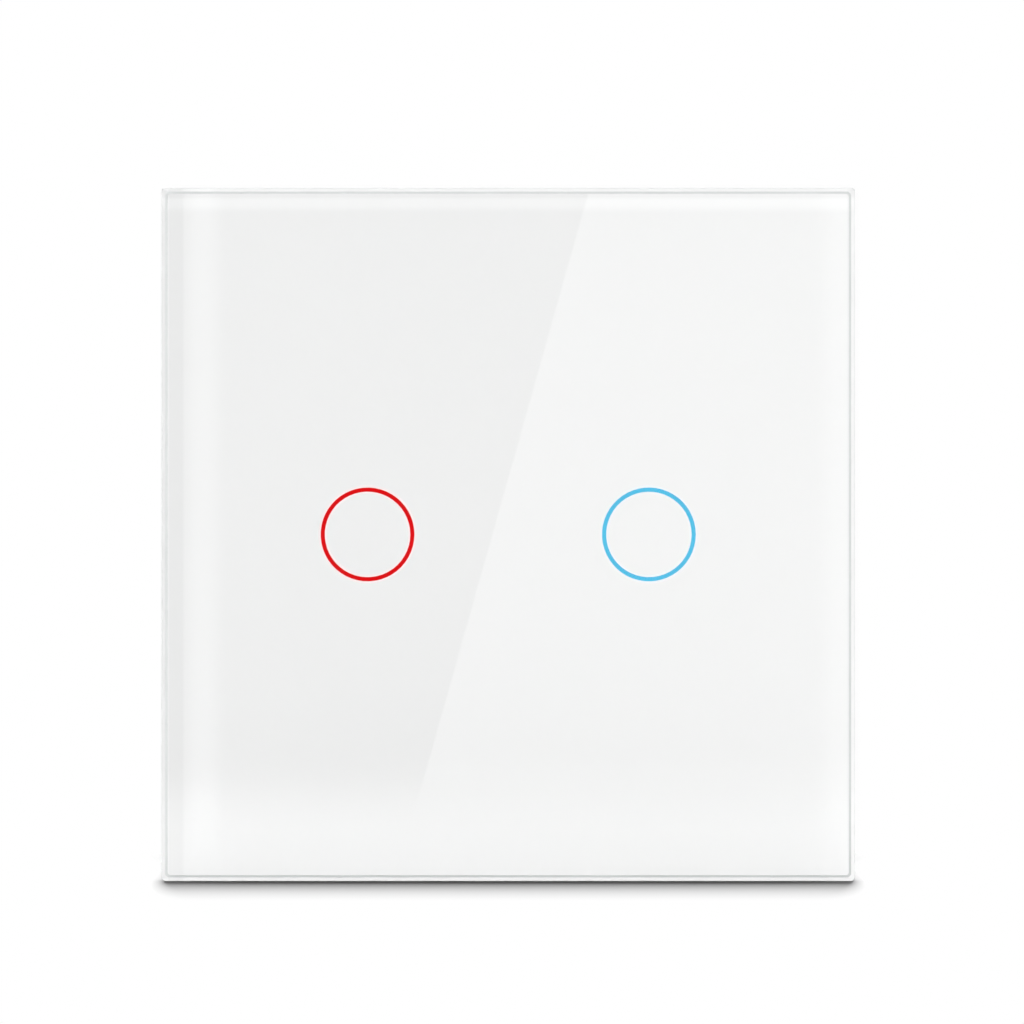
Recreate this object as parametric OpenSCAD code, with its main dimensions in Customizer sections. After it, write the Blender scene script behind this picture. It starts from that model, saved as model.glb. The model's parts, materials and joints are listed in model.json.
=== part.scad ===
// Touch light switch for a wall box: a glass panel that snaps onto a two-channel relay module.
// Seen from the front, +X is right and +Z is up, and +Y runs into the wall.
// The wall plane is Y = 0 and the origin is the middle of the wall-box screw line. Sizes are in mm.

/* [Glass panel] */
// Width and height of the square glass
panel_size = 86; // [84:0.5:90]
// Depth from the front of the glass to the wall
panel_depth = 11.5; // [11:0.5:14]
// Thickness of the glass
glass_thickness = 4; // [3:0.5:4.5]
// Polished chamfer along the front edges of the glass
glass_chamfer = 0.7; // [0.3:0.1:1.2]
// Radius of the corners of the glass
glass_corner = 0.7; // [0.4:0.1:3]
// Thickness of the white ink printed on the back of the glass
print_thickness = 0.1; // [0.05:0.05:0.2]
// Bare margin between the ink and the edge of the glass
print_margin = 0.3; // [0.1:0.1:1]
// Thickness of the foam tape between the glass and its frame
tape_thickness = 0.5; // [0.3:0.1:0.8]

/* [Touch rings] */
// Distance between the centres of the two rings
ring_spacing = 35; // [33:0.5:35.5]
// Mean diameter of the clear ring in the ink
ring_diameter = 11.15; // [10:0.05:11.4]
// Width of the ring's line
ring_line = 0.52; // [0.3:0.02:0.8]

/* [Panel frame] */
// How far the frame is set back from the edge of the glass
frame_inset = 0.6; // [0.3:0.1:1.5]
// Thickness of the skirt that reaches the wall
frame_wall = 1.8; // [1.4:0.1:2.4]
// Thickness of the flange that carries the glass
frame_flange = 1.6; // [1.2:0.1:2]
// Radius of the corners of the frame
frame_corner = 1.2; // [0.8:0.1:3]
// Chamfer along the skirt's edge at the wall
frame_chamfer = 0.5; // [0.2:0.1:0.8]
// Width of the notch in the bottom skirt, for prying the panel off
pry_width = 12; // [8:1:18]
// Depth of that notch, measured from the wall
pry_depth = 2.2; // [1.5:0.1:3]

/* [Sensor cover] */
// Room between a light guide's rim and the cover's wall
guide_side_gap = 0.4; // [0.2:0.1:1]
// Thickness of the walls of the cover
cover_wall = 1.4; // [1.2:0.1:1.8]
// Radius of the corners of the cover
cover_corner = 3; // [2:0.5:5]
// Thickness of the ring wall of a light guide
guide_wall = 0.9; // [0.7:0.1:1.2]
// Thickness of the front of a light guide
guide_front = 0.8; // [0.6:0.1:1.2]
// Height of the touch board
touch_board_h = 27; // [26:0.5:30]
// Thickness of the touch board
touch_board_t = 1; // [0.8:0.1:1.2]
// Mean diameter of a touch spring
spring_diameter = 6.4; // [5:0.2:7]
// Wire diameter of a touch spring
spring_wire = 0.5; // [0.4:0.05:0.6]
// Turns of a touch spring
spring_turns = 3; // [2:0.5:3]

/* [Mounting bracket] */
// Metal left between a screw slot and the edge of the bracket
bracket_margin = 1.7; // [1.2:0.1:3]
// Thickness of the bracket
bracket_thickness = 1.2; // [1:0.1:1.6]
// Distance between opposite wall-box screws
box_screw_spacing = 60; // [60:0.1:61]
// Width of a slot for a wall-box screw
slot_width = 4.2; // [3.8:0.1:4.6]
// End-to-end length of a slot for a wall-box screw
slot_length = 7.6; // [6:0.1:7.8]

/* [Rear housing] */
// Width and height of the rear housing
housing_size = 48; // [47:0.5:50]
// Depth of the housing behind the wall plane
housing_depth = 27; // [27:0.5:32]
// Thickness of the housing's walls
housing_wall = 1.8; // [1.5:0.1:2]
// Thickness of the housing's rear wall
housing_floor = 2; // [1.6:0.1:2.4]
// Side of the corner notches that make room for the screws
corner_notch = 7; // [6.6:0.1:7.4]
// Thickness of the flange that lies on the bracket
housing_flange = 2.2; // [1.8:0.1:2.8]
// Chamfer along the housing's rear edges
housing_chamfer = 1.5; // [0.8:0.1:1.8]
// Diameter of a housing screw
screw_d = 2.5; // [2.2:0.1:2.8]
// Length of a housing screw under its head
screw_length = 6.8; // [6:0.1:7]

/* [Boards] */
// Thickness of the power board
power_board_t = 1.6; // [1.2:0.1:1.8]
// Height of the plastic strip of the pin header
header_height = 2.5; // [2.2:0.1:2.8]

/* [Terminals] */
// Distance between neighbouring terminals
terminal_pitch = 8.6; // [8:0.1:9.2]
// Open gap for a wire, between the clamp's floor and the current bar
wire_gap = 4.6; // [4.4:0.1:4.8]
// Inside width of a clamp
clamp_width = 4.8; // [4.6:0.1:5]
// Wall of a clamp
clamp_wall = 0.8; // [0.6:0.1:0.8]
// Length of a clamp along the wire
clamp_length = 6.6; // [6:0.1:7]
// Travel of a clamp from open to closed
clamp_travel = 4; // [3.5:0.1:4.1]
// Thread diameter of a terminal screw
terminal_screw_d = 3; // [2.6:0.1:3]
// Thickness of a current bar
bar_thickness = 1; // [0.8:0.1:1.1]

/* [Relays] */
// Width of a relay
relay_w = 15.5; // [15:0.1:15.8]
// Length of a relay
relay_l = 19; // [18.6:0.1:19.2]
// Height of a relay over the power board
relay_h = 15.8; // [15.4:0.1:16.6]
// Air gap between the open armature and the magnet's pole
armature_gap = 0.9; // [0.9:0.05:1.1]

/* [Hidden] */
$fn = 64;
terminal_count = 3;

// Clearances
cut = 1;                    // how far a cutting shape runs past the face that it opens
panel_clearance = 0.5;      // between the panel and the module that it slides over
guide_gap = 0.3;            // between the ink and a light guide
part_clearance = 0.2;       // between pieces of the module that only lie beside each other
fit_clearance = 0.05;       // radial, round a turning or guided piece

// Depth stations of the panel
glass_front = -panel_depth;
glass_back = glass_front + glass_thickness;
print_back = glass_back + print_thickness;
tape_back = print_back + tape_thickness;
flange_back = tape_back + frame_flange;
wall_plane = 0;

// Light guides and the cover that holds them
ring_outer = ring_diameter + ring_line;
ring_inner = ring_diameter - ring_line;
guide_margin = 0.365;
guide_d = ring_outer + 2 * guide_margin;
guide_flange_w = 0.5;
guide_flange_t = 0.8;
cover_size = ring_spacing + guide_d + 2 * (guide_flange_w + guide_side_gap + cover_wall);

// Outline sizes of the panel
frame_size = panel_size - 2 * frame_inset;
window_size = cover_size + 2 * panel_clearance;
bracket_size = box_screw_spacing + slot_length + 2 * bracket_margin;
tape_margin = 1.5;
tape_window = window_size + 2 * tape_margin;
gusset_count = 6;
gusset_width = 1.2;
gusset_tip = 0.6;           // between a gusset and the wall plane
gusset_inner = bracket_size / 2 + part_clearance + panel_clearance;

// Snap hooks
hook_arm = 1.2;
hook_width = 6;
hook_z = 14;
hook_reach = 1;
hook_pocket = 0.8;
hook_lead = 0.9;
hook_face = 0.35;
hook_nub = 1.2;
hook_end = -bracket_thickness - 0.6;
hook_nub_front = hook_end - hook_lead - hook_nub;

// Depth stations of the module
bracket_front = -bracket_thickness;
cover_front = print_back + panel_clearance;
cover_inner = cover_front + cover_wall;
guide_face = print_back + guide_gap;
guide_inside = guide_face + guide_front;
touch_board_back = bracket_front - 2 * part_clearance;
touch_board_front = touch_board_back - touch_board_t;
floor_inside = housing_depth - housing_floor;
relay_floor_gap = 1.6;      // between a relay and the housing's rear wall
power_board_back = floor_inside - relay_floor_gap - relay_h;
power_board_front = power_board_back - power_board_t;
header_back = touch_board_back + header_height;
socket_front = header_back + part_clearance / 2;

// LEDs and touch springs
guide_back = touch_board_front - guide_gap;
guide_cavity_d = guide_d - 2 * guide_wall;
led_size = [1.6, 0.8];
led_height = 0.6;
led_count = 4;
led_radius = guide_cavity_d / 2 - led_size[1] / 2 - guide_gap;
spring_sides = 6;
spring_tail = 0.2;
spring_rings = 8;

// Pillars of the cover that carry the touch board
pillar_d = 4;
peg_edge = [2.2, 2.5];      // from the middle of a peg to the edges of the touch board
board_side_gap = 0.8;       // between the touch board and the cover's wall
touch_board_w = cover_size - 2 * (cover_wall + board_side_gap);
peg_d = 1.6;
peg_head = 0.3;
pillar_places = [for (x = [-1, 1], z = [-1, 1])
    [x * (touch_board_w / 2 - peg_edge[0]), z * (touch_board_h / 2 - peg_edge[1])]];

// Pin header
pin_count = 5;
pin_pitch = 2;
pin_side = 0.5;
pin_hole = 1;
pin_tail = 0.6;
header_width = 2;
header_z = -9;
header_length = pin_count * pin_pitch + part_clearance;
pin_places = [for (i = [0:pin_count - 1]) (i - (pin_count - 1) / 2) * pin_pitch];

// Touch chip
chip_size = [4, 1.5, 8.6];
chip_lead = [1, 0.4, 0.5];
chip_lead_count = 6;
chip_lead_pitch = 1.27;

// Bracket
bracket_corner = 4;
bracket_window = [34, 24];
bracket_window_r = 3;

// Housing
housing_inside = housing_size / 2 - housing_wall;
notch_face = housing_size / 2 - corner_notch;
notch_inside = notch_face - housing_wall;
housing_corner = 2;
flange_corner = 6;
screw_place = housing_size / 2 - 3.7;
screw_tip = housing_flange - screw_length;
screw_head_d = 4.6;
screw_head_t = 1.8;
screw_slot = [0.7, 0.9];
screw_boss_d = 6;
screw_pilot_extra = 0.3;
board_gap = 0.3;            // between the power board and the housing
rib_depth = 2;
rib_width = 3;
rib_z = 11;
vent_count = 7;
vent_pitch = 4.6;
vent_width = 1.5;
vent_length = 11;
vent_z = 6;

// Relays
relay_side_gap = 0.95;
relay_x = housing_inside - rib_depth - relay_side_gap - relay_w / 2;
relay_top_gap = 0.7;
relay_z = notch_inside - relay_top_gap - relay_l / 2;
relay_case_wall = 0.9;
relay_base_t = 2;
relay_base_top = power_board_back + relay_base_t;
relay_base_gap = 0.1;
yoke_t = 1.2;
yoke_w = 8;
core_d = 3.2;
coil_d = 8.2;
bobbin_d = 9.4;
bobbin_flange = 0.7;
coil_height = 7.3;
pole_rise = 0.9;
relay_pole = relay_base_top + yoke_t + coil_height + pole_rise;
yoke_upright = bobbin_d / 2 + 1;             // inner face of the yoke's upright, from the core
pivot_z = -yoke_upright - yoke_t / 2;
pivot_gap = 0.1;
pivot_y = relay_pole + armature_gap - pivot_gap;
armature_t = 1;
armature_under = relay_pole + armature_gap;
armature_tip = 4.6;
armature_tail = 1.1;
leaf_t = 0.3;
leaf_w = 4;
leaf_root = -3;
contact_d = 2;
contact_t = 1.3;
contact_gap = 1.5;
blade_t = 0.5;
blade_z = relay_l / 2 - relay_case_wall - part_clearance;
fixed_contact_d = 2.2;
fixed_contact_t = 0.8;
fixed_contact_top = armature_under + armature_t - contact_t - contact_gap;
contact_z = blade_z - fixed_contact_d / 2 - 0.1;
leaf_tip = contact_z + contact_d / 2;

// Terminal block
block_front = power_board_back;
block_back = floor_inside - part_clearance;
block_bottom = -housing_inside + part_clearance;
block_wall = 1.9;
block_inner_wall = 1.6;
chamber_low = block_bottom + block_wall;
chamber_high = chamber_low + clamp_length + 2 * part_clearance;
block_top = chamber_high + block_inner_wall;
block_half = terminal_count * terminal_pitch / 2;
terminal_z = (chamber_low + chamber_high) / 2;
terminal_places = [for (i = [0:terminal_count - 1]) (i - (terminal_count - 1) / 2) * terminal_pitch];
clamp_corner = 0.6;
clamp_rise = 1.4;           // between the power board and the open clamp
clamp_top_t = 1.4;
clamp_front = power_board_back + clamp_rise;
clamp_floor = clamp_front + clamp_wall;
bar_front = clamp_floor + wire_gap;
bar_back = bar_front + bar_thickness;
bar_width = 4;
bar_gap = 0.4;
clamp_inner_top = bar_back + bar_gap;
clamp_back = clamp_inner_top + clamp_top_t;
clamp_outer_w = clamp_width + 2 * clamp_wall;
chamber_back = clamp_back + clamp_travel + 2 * part_clearance;
tip_gap = 0.1;
terminal_head_d = 4.8;
terminal_head_t = 1.8;
terminal_head_back = floor_inside - 0.3;
terminal_slot = [0.9, 0.9];
driver_hole = 4.4;
driver_sink = 0.8;          // depth of the funnel that leads a screwdriver in
mouth_lip = 0.2;            // how far the block's wire mouth is wider than the clamp
mouth_step = 0.3;           // how far the housing's wire mouth is wider than the block's

// Parts of the power supply: the tall ones behind the power board, the flat ones in front of it
electrolytic_d = 6.3;
electrolytic_h = 11;
electrolytic_side = 4.05;   // from its side to the housing's notch
electrolytic_x = -(notch_inside - electrolytic_side - electrolytic_d / 2);
film_size = [13, 11, 5];
film_side = 1.7;            // from its side to the housing's notch
film_x = notch_inside - film_side - film_size[0] / 2;
supply_edge = 3.6;          // from the middle of the tall parts to the housing's wall
supply_z = housing_inside - supply_edge;
flat_edge = 5;              // from the middle of the flat parts to the housing's wall
flat_z = housing_inside - flat_edge;
flat_x = 6;
lead_d = 0.7;
varistor_d = 7;
varistor_t = 2.4;
varistor_rise = 0.3;
choke_d = 5;
choke_h = 2.8;
choke_flange = 0.6;
fuse_d = 2;
fuse_length = 6;
fuse_rise = 0.3;
fuse_lead = 1.2;
fuse_leg_d = 1;             // the solder foot that a lead of the fuse ends in
rectifier_size = [4.8, 2.4, 3.9];
rectifier_lead = [0.6, 0.4, 1];

// Shared shapes

// A flat outline, drawn as seen from the front, made solid between two depths
module layer(from, to) {
    translate([0, to, 0]) rotate([90, 0, 0]) linear_extrude(to - from) children();
}

// A round bar along Y at a place on the front view
module rod(place, from, to, d) {
    translate([place[0], to, place[1]]) rotate([90, 0, 0]) cylinder(d = d, h = to - from);
}

// The limits of a stretch, from its middle and half its length
function span(middle, half) = [middle - half, middle + half];

// A box given by its limits along each axis
module box(x, y, z) {
    translate([x[0], y[0], z[0]]) cube([x[1] - x[0], y[1] - y[0], z[1] - z[0]]);
}

// A centred rectangle with round corners, from straight strips and true circles
module round_rect(w, h, r) {
    square([w, h - 2 * r], center = true);
    square([w - 2 * r, h], center = true);
    for (x = [-1, 1], y = [-1, 1]) translate([x * (w / 2 - r), y * (h / 2 - r)]) circle(r);
}

// A slot centred on the origin, along the first axis
module slot(length, width) {
    square([length - width, width], center = true);
    for (x = [-1, 1]) translate([x * (length - width) / 2, 0]) circle(d = width);
}

// The side outline of a plate whose front and back edges are chamfered
function chamfered_profile(half, from, to, front, back) = concat(
    front > 0 ? [[-half, from + front], [-half + front, from], [half - front, from], [half, from + front]]
              : [[-half, from], [half, from]],
    back > 0 ? [[half, to - back], [half - back, to], [-half + back, to], [-half, to - back]]
             : [[half, to], [-half, to]]
);

// A plate of width w and height h with its front or back edges chamfered
module chamfered_plate(w, h, from, to, front = 0, back = 0) {
    intersection() {
        translate([0, 0, -h / 2]) linear_extrude(h) polygon(chamfered_profile(w / 2, from, to, front, back));
        rotate([90, 0, 90]) translate([0, 0, -w / 2]) linear_extrude(w)
            polygon([for (p = chamfered_profile(h / 2, from, to, front, back)) [p[1], p[0]]]);
    }
}

// Children at both touch rings, or at one of them
module at_ring(side) {
    translate([side * ring_spacing / 2, 0, 0]) children();
}

// Children at one relay's place, measured from the middle of its footprint
module at_relay(side) {
    translate([side * relay_x, 0, relay_z]) children();
}

// Children repeated on the four sides of the panel
module on_four_sides() {
    for (turn = [0:90:270]) rotate([0, turn, 0]) children();
}

// The four corners where a housing screw goes through
module at_screws() {
    for (x = [-1, 1], z = [-1, 1]) translate([x * screw_place, 0, z * screw_place]) children();
}

// Panel

module glass_panel() {
    color("azure", 0.5) intersection() {
        chamfered_plate(panel_size, panel_size, glass_front, glass_back, front = glass_chamfer);
        layer(glass_front, glass_back) round_rect(panel_size, panel_size, glass_corner);
    }
}

module panel_print() {
    printed = panel_size - 2 * print_margin;
    color("white") layer(glass_back, print_back) {
        difference() {
            round_rect(printed, printed, glass_corner);
            for (side = [-1, 1]) translate([side * ring_spacing / 2, 0]) circle(d = ring_outer);
        }
        for (side = [-1, 1]) translate([side * ring_spacing / 2, 0]) circle(d = ring_inner);
    }
}

module panel_tape() {
    outside = frame_size - 2 * tape_margin;
    color("whitesmoke") layer(print_back, tape_back) difference() {
        round_rect(outside, outside, frame_corner);
        square(tape_window, center = true);
    }
}

module panel_frame() {
    inside = frame_size - 2 * frame_wall;
    color("white") difference() {
        union() {
            layer(tape_back, flange_back) difference() {
                round_rect(frame_size, frame_size, frame_corner);
                square(window_size, center = true);
            }
            difference() {
                intersection() {
                    layer(tape_back, wall_plane) round_rect(frame_size, frame_size, frame_corner);
                    chamfered_plate(frame_size, frame_size, tape_back, wall_plane, back = frame_chamfer);
                }
                layer(tape_back - cut, wall_plane + cut) square(inside, center = true);
            }
            on_four_sides() panel_gussets(inside / 2);
        }
        box(span(0, pry_width / 2), [-pry_depth, cut],
            [-frame_size / 2 - cut, -inside / 2 + part_clearance]);
    }
}

// The row of gussets between the flange and one side of the skirt
module panel_gussets(skirt) {
    pitch = 2 * gusset_inner / gusset_count;
    for (i = [0:gusset_count - 1]) {
        x = (i - (gusset_count - 1) / 2) * pitch;
        translate([x - gusset_width / 2, 0, 0]) rotate([90, 0, 90]) linear_extrude(gusset_width)
            polygon([
                [flange_back - cut, skirt + cut], [flange_back - cut, gusset_inner],
                [flange_back, gusset_inner], [-gusset_tip, skirt - gusset_width],
                [-gusset_tip, skirt + cut],
            ]);
    }
}

module snap_hooks() {
    arm = window_size / 2;
    color("white") for (side = [0, 1], z = [-1, 1])
        mirror([side, 0, 0]) translate([0, 0, z * hook_z - hook_width / 2]) linear_extrude(hook_width)
            polygon([
                [arm + hook_arm, flange_back], [arm, flange_back], [arm, hook_nub_front],
                [arm - hook_reach, hook_nub_front + hook_face],
                [arm - hook_reach, hook_nub_front + hook_nub],
                [arm, hook_end], [arm + hook_arm, hook_end],
            ]);
}

// Module front

module sensor_cover() {
    inside = cover_size - 2 * cover_wall;
    color("whitesmoke") difference() {
        union() {
            difference() {
                intersection() {
                    chamfered_plate(cover_size, cover_size, cover_front, bracket_front,
                                    front = cover_wall / 2);
                    layer(cover_front, bracket_front) round_rect(cover_size, cover_size, cover_corner);
                }
                layer(cover_inner, bracket_front + cut)
                    round_rect(inside, inside, cover_corner - cover_wall / 2);
            }
            at_screws() rod([0, 0], cover_inner, bracket_front, screw_boss_d);
            for (place = pillar_places) {
                rod(place, cover_inner, touch_board_front, pillar_d);
                rod(place, cover_inner, touch_board_back + peg_head, peg_d);
            }
        }
        for (side = [-1, 1]) at_ring(side)
            rod([0, 0], cover_front - cut, cover_inner + cut, guide_d + 2 * part_clearance);
        at_screws()
            rod([0, 0], screw_tip - screw_pilot_extra, cut, screw_d + 2 * fit_clearance);
        for (side = [0, 1], z = [-1, 1]) mirror([side, 0, 0])
            box([cover_size / 2 - hook_pocket, cover_size / 2 + cut],
                [hook_nub_front - part_clearance, bracket_front + cut],
                span(z * hook_z, hook_width / 2 + part_clearance));
    }
}

module light_guide(side, tint) {
    color(tint) at_ring(side) difference() {
        union() {
            rod([0, 0], guide_face, guide_back, guide_d);
            rod([0, 0], cover_inner, cover_inner + guide_flange_t, guide_d + 2 * guide_flange_w);
        }
        rod([0, 0], guide_inside, guide_back + cut, guide_cavity_d);
    }
}

module leds(side, tint) {
    color(tint) at_ring(side) for (i = [0:led_count - 1])
        rotate([0, (i + 0.5) * 360 / led_count, 0])
            translate([-led_size[0] / 2, touch_board_front - led_height, led_radius - led_size[1] / 2])
                cube([led_size[0], led_height, led_size[1]]);
}

// Touch springs: each is one unbroken tube, from a leg through the board along a helix to its light guide
spring_steps = spring_turns * spring_rings;
spring_start = touch_board_front - spring_wire;
spring_stop = guide_inside + spring_wire / 2;
spring_pitch = (spring_start - spring_stop) / spring_turns;
function spring_angle(i) = 360 * i / spring_rings;
function spring_outward(i) = [cos(spring_angle(i)), 0, sin(spring_angle(i))];
function spring_along(i) = [-sin(spring_angle(i)), 0, cos(spring_angle(i))];
function spring_centre(i) = spring_diameter / 2 * spring_outward(i)
    + [0, spring_start - spring_pitch * i / spring_rings, 0];
// Each station of the tube is its centre and the two directions that its cross-section lies in
spring_leg = [[spring_diameter / 2, touch_board_back + spring_tail, 0], [1, 0, 0], [0, 0, 1]];
spring_bend = [spring_centre(0), [1, 0, 0], [0, 1, 1]];
spring_coil = [for (i = [1:spring_steps]) [spring_centre(i), spring_outward(i), [0, 1, 0]]];
spring_tip = [spring_centre(spring_steps) + spring_wire * spring_along(spring_steps),
    spring_outward(spring_steps), [0, 1, 0]];
spring_stations = concat([spring_leg, spring_bend], spring_coil, [spring_tip]);
spring_last = len(spring_stations) - 1;
function spring_section(station) = [for (k = [0:spring_sides - 1]) let (turn = 360 * k / spring_sides)
    station[0] + spring_wire / 2 * (cos(turn) * station[1] + sin(turn) * station[2])];
spring_least_gap = min([for (i = [0:spring_last], j = [0:spring_last])
    if (j - i >= spring_rings / 2) norm(spring_stations[j][0] - spring_stations[i][0])]) - spring_wire;
echo(str("touch spring, least gap to itself in mm: ", spring_least_gap));

module touch_spring() {
    top = spring_last * spring_sides;
    points = [for (station = spring_stations) each spring_section(station)];
    sides = [for (i = [0:spring_last - 1], k = [0:spring_sides - 1]) let (
        a = i * spring_sides + k,
        b = i * spring_sides + (k + 1) % spring_sides,
        c = a + spring_sides,
        d = b + spring_sides
    ) each [[a, d, b], [a, c, d]]];
    ends = [for (k = [1:spring_sides - 2]) each [[0, k, k + 1], [top, top + k + 1, top + k]]];
    polyhedron(points, concat(sides, ends));
}

module touch_springs() {
    color("goldenrod") for (side = [-1, 1]) at_ring(side) touch_spring();
}

module touch_board() {
    color("seagreen") layer(touch_board_front, touch_board_back) difference() {
        round_rect(touch_board_w, touch_board_h, 1);
        for (place = pillar_places) translate(place) circle(d = peg_d + 2 * fit_clearance);
        for (side = [-1, 1]) translate([(side * ring_spacing + spring_diameter) / 2, 0])
            circle(d = spring_wire + 4 * fit_clearance);
        for (x = pin_places) translate([x, header_z]) circle(d = pin_hole);
    }
}

module touch_chip() {
    top = touch_board_front - chip_size[1];
    color("dimgray") {
        box(span(0, chip_size[0] / 2), [top, touch_board_front - chip_lead[1] / 2],
            span(0, chip_size[2] / 2));
        for (side = [-1, 1], i = [0:chip_lead_count - 1])
            translate([side * (chip_size[0] + chip_lead[0]) / 2, touch_board_front - chip_lead[1] / 2,
                       (i - (chip_lead_count - 1) / 2) * chip_lead_pitch])
                cube([chip_lead[0] + chip_lead[2], chip_lead[1], chip_lead[2]], center = true);
    }
}

module board_header() {
    color("dimgray") {
        box(span(0, header_length / 2), [touch_board_back, header_back],
            span(header_z, header_width / 2));
        for (x = pin_places)
            box(span(x, pin_side / 2),
                [touch_board_front - pin_tail, power_board_front - pin_tail],
                span(header_z, pin_side / 2));
    }
}

module board_socket() {
    color("dimgray") difference() {
        box(span(0, header_length / 2), [socket_front, power_board_front],
            span(header_z, header_width / 2));
        for (x = pin_places)
            box(span(x, pin_side / 2 + fit_clearance),
                [socket_front - cut, power_board_front - pin_tail / 2],
                span(header_z, pin_side / 2 + fit_clearance));
    }
}

// Bracket and housing

module mounting_bracket() {
    color("lightsteelblue") layer(bracket_front, wall_plane) difference() {
        round_rect(bracket_size, bracket_size, bracket_corner);
        round_rect(bracket_window[0], bracket_window[1], bracket_window_r);
        for (turn = [0:90:270])
            rotate(turn) translate([box_screw_spacing / 2, 0]) slot(slot_length, slot_width);
        for (x = [-1, 1], z = [-1, 1])
            translate([x, z] * screw_place) circle(d = screw_d + 2 * part_clearance);
    }
}

// The housing's cross, as seen from the front: a square with a notch at each corner
module housing_outline(half, notch, r) {
    round_rect(2 * half, 2 * notch, r);
    round_rect(2 * notch, 2 * half, r);
}

module housing_shell() {
    difference() {
        union() {
            intersection() {
                layer(wall_plane, housing_depth)
                    housing_outline(housing_size / 2, notch_face, housing_corner);
                union() {
                    chamfered_plate(housing_size, 2 * notch_face, wall_plane, housing_depth,
                                    back = housing_chamfer);
                    chamfered_plate(2 * notch_face, housing_size, wall_plane, housing_depth,
                                    back = housing_chamfer);
                }
            }
            layer(wall_plane, housing_flange) round_rect(housing_size, housing_size, flange_corner);
        }
        layer(wall_plane - cut, floor_inside)
            housing_outline(housing_inside, notch_inside, housing_corner / 2);
    }
}

module rear_housing() {
    color("gainsboro") difference() {
        union() {
            housing_shell();
            for (side = [0, 1], z = [-1, 1]) mirror([side, 0, 0])
                box([housing_inside - rib_depth, housing_inside + cut],
                    [power_board_back, floor_inside + cut],
                    span(z * rib_z, rib_width / 2));
        }
        at_screws() rod([0, 0], -cut, housing_flange + cut, screw_d + 2 * part_clearance);
        for (x = terminal_places) {
            rod([x, terminal_z], floor_inside - cut, housing_depth + cut, driver_hole);
            translate([x, housing_depth, terminal_z]) rotate([90, 0, 0])
                cylinder(d1 = driver_hole + 2 * driver_sink, d2 = driver_hole, h = driver_sink);
            box(span(x, clamp_width / 2 + mouth_lip + mouth_step),
                [clamp_floor - mouth_lip - mouth_step, bar_front + mouth_lip + mouth_step],
                [-housing_size / 2 - cut, -housing_inside + cut]);
        }
        for (i = [0:vent_count - 1])
            translate([(i - (vent_count - 1) / 2) * vent_pitch, 0, vent_z]) rotate([0, 90, 0])
                layer(floor_inside - cut, housing_depth + cut) slot(vent_length, vent_width);
    }
}

module housing_screws() {
    head_back = housing_flange + screw_head_t;
    color("silver") at_screws() difference() {
        union() {
            rod([0, 0], screw_tip, housing_flange, screw_d);
            rod([0, 0], housing_flange, head_back, screw_head_d);
        }
        for (turn = [0, 90]) rotate([0, turn, 0])
            box(span(0, screw_head_d / 3), [head_back - screw_slot[1], head_back + cut],
                span(0, screw_slot[0] / 2));
    }
}

// Power board and terminals

module power_board() {
    color("seagreen") layer(power_board_front, power_board_back)
        housing_outline(housing_inside - board_gap, notch_inside - board_gap, housing_corner / 2);
}

module terminal_block() {
    color("darkseagreen") difference() {
        box(span(0, block_half), [block_front, block_back], [block_bottom, block_top]);
        for (x = terminal_places) {
            box(span(x, clamp_outer_w / 2 + part_clearance), [block_front - cut, chamber_back],
                [chamber_low, chamber_high]);
            box(span(x, clamp_width / 2 + mouth_lip), [clamp_floor - mouth_lip, bar_front + mouth_lip],
                [block_bottom - cut, chamber_low + cut]);
            box(span(x, bar_width / 2 + part_clearance),
                [block_front - cut, bar_back + part_clearance],
                [chamber_high - cut, block_top + cut]);
            rod([x, terminal_z], chamber_back - cut, block_back + cut, terminal_head_d + 2 * part_clearance);
        }
    }
}

module terminal_bars() {
    leg = chamber_high + part_clearance;
    color("goldenrod") for (x = terminal_places) rotate([90, 0, 90]) translate([0, 0, x - bar_width / 2])
        linear_extrude(bar_width) polygon([
            [bar_front, chamber_low + part_clearance], [bar_back, chamber_low + part_clearance],
            [bar_back, leg + bar_thickness], [power_board_back, leg + bar_thickness],
            [power_board_back, leg], [bar_front, leg],
        ]);
}

module terminal_screw(number) {
    color("silver") translate([terminal_places[number - 1], 0, terminal_z]) difference() {
        union() {
            rod([0, 0], bar_back + tip_gap, terminal_head_back - terminal_head_t, terminal_screw_d);
            rod([0, 0], terminal_head_back - terminal_head_t, terminal_head_back, terminal_head_d);
        }
        box(span(0, terminal_head_d), [terminal_head_back - terminal_slot[1], terminal_head_back + cut],
            span(0, terminal_slot[0] / 2));
    }
}

module terminal_clamp(number) {
    middle = (clamp_front + clamp_back) / 2;
    color("lightgray") translate([terminal_places[number - 1], 0, terminal_z]) difference() {
        translate([0, middle, -clamp_length / 2]) linear_extrude(clamp_length)
            round_rect(clamp_outer_w, clamp_back - clamp_front, clamp_corner);
        box(span(0, clamp_width / 2), [clamp_floor, clamp_inner_top], span(0, clamp_length));
        rod([0, 0], clamp_inner_top - cut, clamp_back + cut, terminal_screw_d + 2 * fit_clearance);
    }
}

// Relays

module relay_case(side) {
    inside = [relay_w, relay_l] / 2 - relay_case_wall * [1, 1];
    color("royalblue") at_relay(side) difference() {
        box(span(0, relay_w / 2), [power_board_back, power_board_back + relay_h], span(0, relay_l / 2));
        box(span(0, inside[0]), [power_board_back - cut, power_board_back + relay_h - relay_case_wall],
            span(0, inside[1]));
    }
}

module relay_base(side) {
    half = [relay_w, relay_l] / 2 - (relay_case_wall + relay_base_gap) * [1, 1];
    color("dimgray") at_relay(side)
        box(span(0, half[0]), [power_board_back, relay_base_top], span(0, half[1]));
}

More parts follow.
